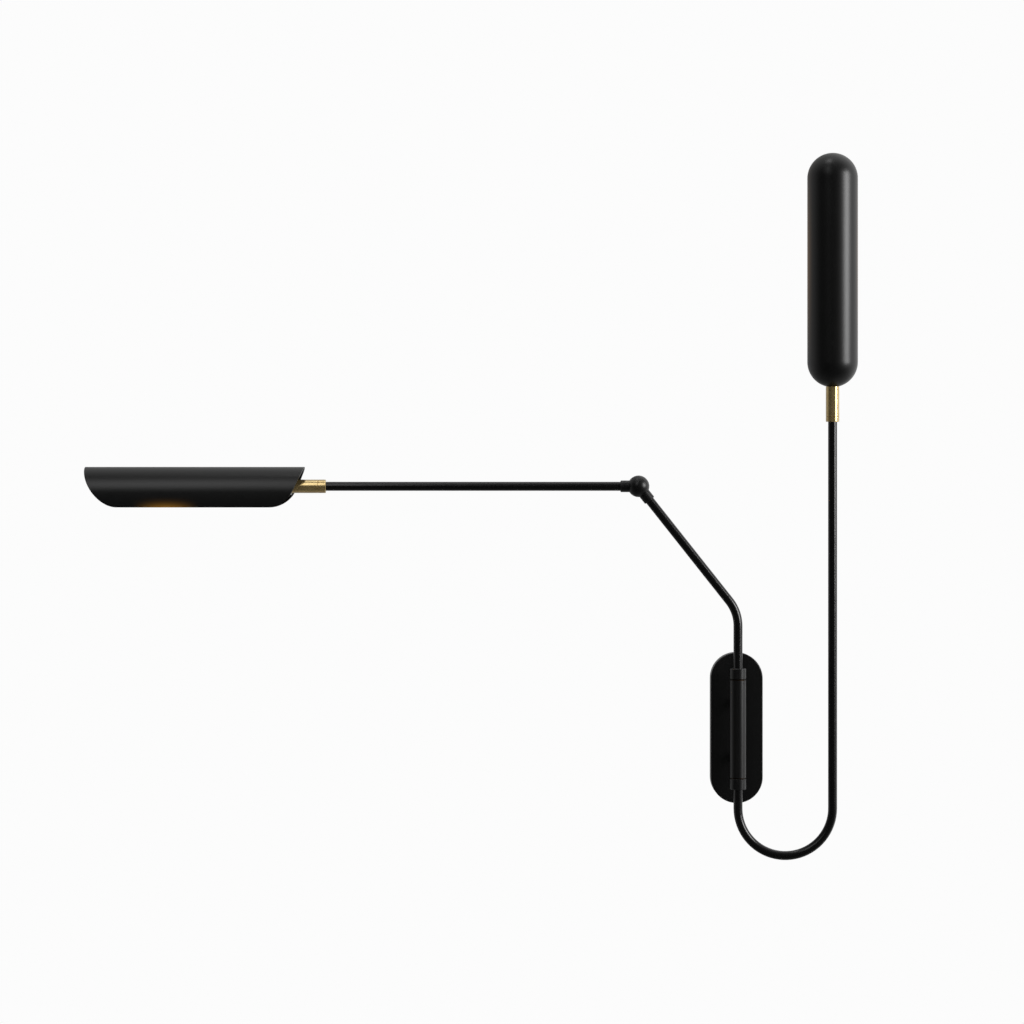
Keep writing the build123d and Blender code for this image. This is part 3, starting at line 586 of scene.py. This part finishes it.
def bulb(name, body, node, axis, sign):
    """A tubular opal bulb: its neck swells into a long round-ended tube."""
    length, radius = span(node, axis)
    _, neck = span(node + "_cap", axis)
    profile = [(0, 0)]
    for step in range(ARC_STEPS):
        share = step / ARC_STEPS
        swell = share * share * (3 - 2 * share)
        profile.append((neck + (radius - neck) * swell, BULB_NECK * share))
    profile += arc((0, length - radius), radius, radius, 0, 90)
    profile[-1] = (0, length)
    place = at_end(node, axis, -sign, sign)
    finished(turned(profile), name, [OPAL], body, [node], place)


def bulb_cap(name, body, node, axis, sign):
    """A bulb's screw cap: a solder tip and its insulator, rolled thread rings and a plain collar."""
    length, radius = span(node, axis)
    profile = [(radius * share, height) for share, height in CAP_TIP]
    rings = int((length - CAP_PLAIN) / CAP_THREAD_PITCH)
    for step in range(rings * CAP_THREAD_STEPS + 1):
        wave = (1 + math.cos(math.tau * step / CAP_THREAD_STEPS)) / 2
        height = CAP_THREAD_START + step * CAP_THREAD_PITCH / CAP_THREAD_STEPS
        profile.append((radius - CAP_THREAD_DEPTH * wave, height))
    profile += [(radius, length - CAP_COLLAR), (radius, length), (0, length)]
    place = at_end(node, axis, -sign, sign)
    finished(turned(profile), name, [CAP_METAL], body, [node], place)


def lampholder(name, body, node, axis, sign):
    """A moulded lampholder: a stepped shoulder, a fluted skirt to grip, and a cup for the bulb's cap."""
    length, radius = span(node, axis)
    skirt_r, shoulder_r = radius * HOLDER_SKIRT_R, radius * HOLDER_SHOULDER_R
    skirt = (HOLDER_SKIRT_START, length - HOLDER_SKIRT_STOP)
    cup = length - HOLDER_CUP_DEPTH
    profile = [
        (HOLDER_BORE_R, 0), (radius * HOLDER_END_R, 0),
        (shoulder_r, HOLDER_CHAMFER), (shoulder_r, HOLDER_SHOULDER),
        (skirt_r, skirt[0]), (skirt_r, skirt[1]), (radius, length - HOLDER_LIP), (radius, length),
        (HOLDER_CUP_R, length), (HOLDER_CUP_R, cup), (HOLDER_BORE_R, cup), (HOLDER_BORE_R, 0),
    ]
    bm = turned(profile, 2 * HOLDER_RIBS)
    flutes = []
    for face in bm.faces:
        centre = face.calc_center_median()
        outside = math.hypot(centre.x, centre.y) > skirt_r * FACET_MIDDLE
        turn = math.atan2(centre.y, centre.x) % math.tau
        every_second = int(turn / math.tau * 2 * HOLDER_RIBS) % 2
        if outside and skirt[0] < centre.z < skirt[1] and every_second:
            flutes.append(face)
    bmesh.ops.inset_individual(
        bm, faces=flutes, thickness=FLUTE_LAND, depth=-FLUTE_DEPTH, use_even_offset=True,
    )
    place = at_end(node, axis, -sign, sign)
    finished(bm, name, [PHENOLIC], body, [node], place, HOLDER_EDGE)


# ---------------------------------------------------------------- fasteners


def drop(bm, edges, depth):
    """Extrudes a loop of edges down by depth, and gives the new loop."""
    grown = bmesh.ops.extrude_edge_only(bm, edges=edges)["geom"]
    verts = [part for part in grown if isinstance(part, bmesh.types.BMVert)]
    bmesh.ops.translate(bm, vec=(0, 0, -depth), verts=verts)
    return [part for part in grown if isinstance(part, bmesh.types.BMEdge)]


def loop_of(bm, sides, radius):
    """A flat loop of edges round the origin."""
    made = bmesh.ops.create_circle(bm, segments=sides, radius=radius)["verts"]
    return list({edge for vert in made for edge in vert.link_edges})


def socket_screw(bm, radius, length, place):
    """Adds a headless screw whose top face, with its hexagon socket, is at the origin of place."""
    screw = bmesh.new()
    rim = loop_of(screw, SCREW_STEPS, radius)
    socket = loop_of(screw, 6, KEY_SIZE / math.sqrt(3))
    bmesh.ops.bridge_loops(screw, edges=rim + socket)
    bmesh.ops.holes_fill(screw, edges=drop(screw, socket, KEY_DEPTH))
    bmesh.ops.holes_fill(screw, edges=drop(screw, rim, length))
    bmesh.ops.recalc_face_normals(screw, faces=screw.faces)
    bmesh.ops.transform(screw, matrix=place, verts=screw.verts)
    mesh = bpy.data.meshes.new("screw")
    screw.to_mesh(mesh)
    screw.free()
    bm.from_mesh(mesh)
    bpy.data.meshes.remove(mesh)


def grub_screws(node, body, axis, signs, length):
    """Headless screws at the outer ends of a node, each with its socket outwards."""
    low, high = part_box(node)
    bm = bmesh.new()
    radius = min(high[i] - low[i] for i in range(3) if i != axis) / 2
    for sign in signs:
        socket_screw(bm, radius, length, at_end(node, axis, sign, sign))
    finished(bm, node + "_socket", [BLACK_STEEL], body, [node], None, SCREW_EDGE)


# ---------------------------------------------------------------- CAD nodes that keep their shape

NODE_MATERIALS = [
    (COAT, [
        "wall_plate", "upper_neck_post", "lower_neck_post", "pivot_barrel", "upper_collar",
        "lower_collar", "knuckle_base", "knuckle_cap", "reading_bracket",
    ]),
    (COAT_TUBE, ["upper_link", "reading_arm_tube", "lower_arm_tube"]),
    (BRASS_LEVEL, ["reading_arm_ring", "reading_sleeve", "reading_nipple"]),
    (BRASS_UPRIGHT, ["lower_arm_ring", "capsule_sleeve", "capsule_nipple"]),
    (ZINC, [
        "mounting_strap", "neck_nuts", "terminal_screws", "earth_screw", "upper_clip", "lower_clip",
        "knuckle_spring_washer", "reading_arm_clip", "capsule_arm_clip", "reading_nut", "capsule_nut",
    ]),
    (BLACK_STEEL, ["reading_shade_screws", "knuckle_pivot_screw"]),
    (BRONZE, ["upper_bush", "lower_bush"]),
    (PHENOLIC, ["knuckle_friction_ring"]),
    (NYLON, ["terminal_block"]),
    (SHEATH, ["upper_lead", "reading_arm_lead", "lower_lead"]),
]


def dress_nodes():
    """Gives each CAD node that keeps its shape the material it is made of."""
    for material, names in NODE_MATERIALS:
        for name in names:
            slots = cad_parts[name].data.materials
            slots.clear()
            slots.append(material)


# ---------------------------------------------------------------- floor, light and camera

PIXEL = 1.11 * MM                   # size of a photo pixel at the lamp
PHOTO_PIXELS = 1024
PHOTO_ORIGIN = (738, 729)           # photo pixel where the frame's origin falls
LENS = 120.0
SENSOR = 36.0
VIEW_END = 50.0                     # how far the camera sees
VIEW_CENTRE = Vector((
    (PHOTO_PIXELS / 2 - PHOTO_ORIGIN[0]) * PIXEL,
    READING_Y,
    (PHOTO_ORIGIN[1] - PHOTO_PIXELS / 2) * PIXEL,
))

FRONT_LEVEL = 0.05                  # brightness of the studio as the lamp reflects it
LEFT_LEVEL = 0.35
RIGHT_LEVEL = 0.9
ABOVE_LEVEL = 0.22
BELOW_SHARE = 0.3                   # how much of it is left towards the floor
LEFT_TO_RIGHT = (-0.3, 0.5)         # the X of a direction, over which left turns into right
FRONT_TO_BACK = (-0.5, 0.3)         # the same for its Y
LEVEL_TO_ABOVE = (0.35, 1.0)        # and for its Z, upwards and downwards
FLOOR_TO_LEVEL = (-0.8, -0.1)
FLOOR_Z = -0.9
FLOOR_R = 2.2
FLOOR_STEPS = 96

SOFTBOXES = [
    # name, point it faces, direction it stands in, metres away, width and height, watts, spread
    # The long highlights down the right of the capsule, barrel and riser.
    ("right_softbox", VIEW_CENTRE, (0.905, -0.42, 0.22), 3.2, (1.2, 1.6), 64, 180),
    # The pale band under the trough's top line.
    ("trough_softbox", (-0.62, READING_Y, 0.27), (-0.1, -0.78, 0.58), 2.0, (0.6, 2.3), 1.25, 60),
    # The soft cap of light on the capsule's upper dome.
    ("top_softbox", capsule_high, (-0.22, -0.12, 1.0), 2.5, (0.7, 0.7), 0.2, 30),
]


def camera():
    """A long lens square to the wall, level with the middle of the photograph."""
    data = bpy.data.cameras.new("camera")
    data.lens = LENS
    data.sensor_width = SENSOR
    data.clip_end = VIEW_END
    seen = bpy.data.objects.new("camera", data)
    seen.location = VIEW_CENTRE - Vector((0, PHOTO_PIXELS * PIXEL * LENS / SENSOR, 0))
    seen.rotation_euler = (math.pi / 2, 0, 0)
    bpy.context.scene.collection.objects.link(seen)
    bpy.context.scene.camera = seen


def softbox(name, target, direction, distance, size, power, spread):
    """A large soft light that faces a point, with a honeycomb where its spread is narrow."""
    data = bpy.data.lights.new(name, "AREA")
    data.shape = "RECTANGLE"
    data.size, data.size_y = size
    data.energy = power
    data.spread = math.radians(spread)
    light = bpy.data.objects.new(name, data)
    way = Vector(direction).normalized()
    light.location = Vector(target) + way * distance
    light.rotation_euler = way.to_track_quat("Z", "Y").to_euler()
    light.visible_camera = False
    bpy.context.scene.collection.objects.link(light)


def studio():
    """A white studio: dark in front for the black coat's sake, paler behind and to the right."""
    world = bpy.data.worlds.new("studio")
    world.use_nodes = True
    tree = world.node_tree
    tree.nodes.clear()
    way = add(tree, "TexCoord").outputs["Generated"]
    split = add(tree, "SeparateXYZ", {0: way})
    side = add(tree, "MapRange", {
        "Value": split.outputs["X"], "From Min": LEFT_TO_RIGHT[0], "From Max": LEFT_TO_RIGHT[1],
        "To Min": LEFT_LEVEL, "To Max": RIGHT_LEVEL,
    }, interpolation_type="SMOOTHSTEP").outputs[0]
    behind = add(tree, "MapRange", {
        "Value": split.outputs["Y"], "From Min": FRONT_TO_BACK[0], "From Max": FRONT_TO_BACK[1],
    }, interpolation_type="SMOOTHSTEP").outputs[0]
    above = add(tree, "MapRange", {
        "Value": split.outputs["Z"], "From Min": LEVEL_TO_ABOVE[0], "From Max": LEVEL_TO_ABOVE[1],
        "To Min": FRONT_LEVEL, "To Max": ABOVE_LEVEL,
    }, interpolation_type="SMOOTHSTEP").outputs[0]
    below = add(tree, "MapRange", {
        "Value": split.outputs["Z"], "From Min": FLOOR_TO_LEVEL[0], "From Max": FLOOR_TO_LEVEL[1],
        "To Min": BELOW_SHARE,
    }, interpolation_type="SMOOTHSTEP").outputs[0]
    level = add(tree, "Math", {0: side, 1: below}, operation="MULTIPLY").outputs[0]
    level = add(tree, "Math", {0: level, 1: behind, 2: above}, operation="MULTIPLY_ADD").outputs[0]
    reflected = add(tree, "Background", {"Color": linear("#ffffff"), "Strength": level})
    backdrop = add(tree, "Background", {"Color": linear("#fcfcfc"), "Strength": 1.0})
    straight = add(tree, "LightPath").outputs["Is Camera Ray"]
    mix = add(tree, "MixShader", {0: straight, 1: reflected.outputs[0], 2: backdrop.outputs[0]})
    add(tree, "OutputWorld", {"Surface": mix.outputs[0]})
    bpy.context.scene.world = world
    bpy.context.scene.view_settings.view_transform = "Standard"


def studio_floor():
    """A pale matt floor, far enough below to stay out of the photograph's view."""
    bm = bmesh.new()
    bmesh.ops.create_circle(bm, cap_ends=True, segments=FLOOR_STEPS, radius=FLOOR_R)
    bmesh.ops.translate(bm, vec=(VIEW_CENTRE.x, VIEW_CENTRE.y, FLOOR_Z), verts=bm.verts)
    mesh = bpy.data.meshes.new("floor")
    bm.to_mesh(mesh)
    bm.free()
    floor = bpy.data.objects.new("floor", mesh)
    material, tree, place = begin("matt_studio_floor")
    mottle = add(tree, "TexNoise", {"Vector": place, "Scale": 1 / FLOOR_MOTTLE}).outputs[0]
    pale = add(tree, "Mix", {0: mottle, 6: linear("#e6e6e5"), 7: linear("#eeeeed")}, data_type="RGBA")
    shader = add(tree, "BsdfPrincipled", {"Base Color": pale.outputs[2], "Roughness": 0.8, "IOR": 1.5})
    add(tree, "OutputMaterial", {"Surface": shader.outputs[0]})
    mesh.materials.append(material)
    bpy.context.scene.collection.objects.link(floor)
    floor.visible_glossy = False


dress_nodes()
reading_trough()
capsule()
bulb("reading_bulb_opal", "reading_head", "reading_bulb", X, -1)
bulb_cap("reading_bulb_cap_threaded", "reading_head", "reading_bulb_cap", X, -1)
lampholder("reading_lampholder_fluted", "reading_head", "reading_lampholder", X, -1)
bulb("capsule_bulb_opal", "capsule_head", "capsule_bulb", Z, 1)
bulb_cap("capsule_bulb_cap_threaded", "capsule_head", "capsule_bulb_cap", Z, 1)
lampholder("capsule_lampholder_fluted", "capsule_head", "capsule_lampholder", Z, 1)
grub_screws("plate_screws", "wall_bracket", Z, (1, -1), PLATE_SCREW_LENGTH)
grub_screws("upper_collar_screw", "upper_arm", Y, (1,), COLLAR_SCREW_LENGTH)
grub_screws("lower_collar_screw", "lower_arm", Y, (1,), COLLAR_SCREW_LENGTH)
camera()
studio()
studio_floor()
for values in SOFTBOXES:
    softbox(*values)
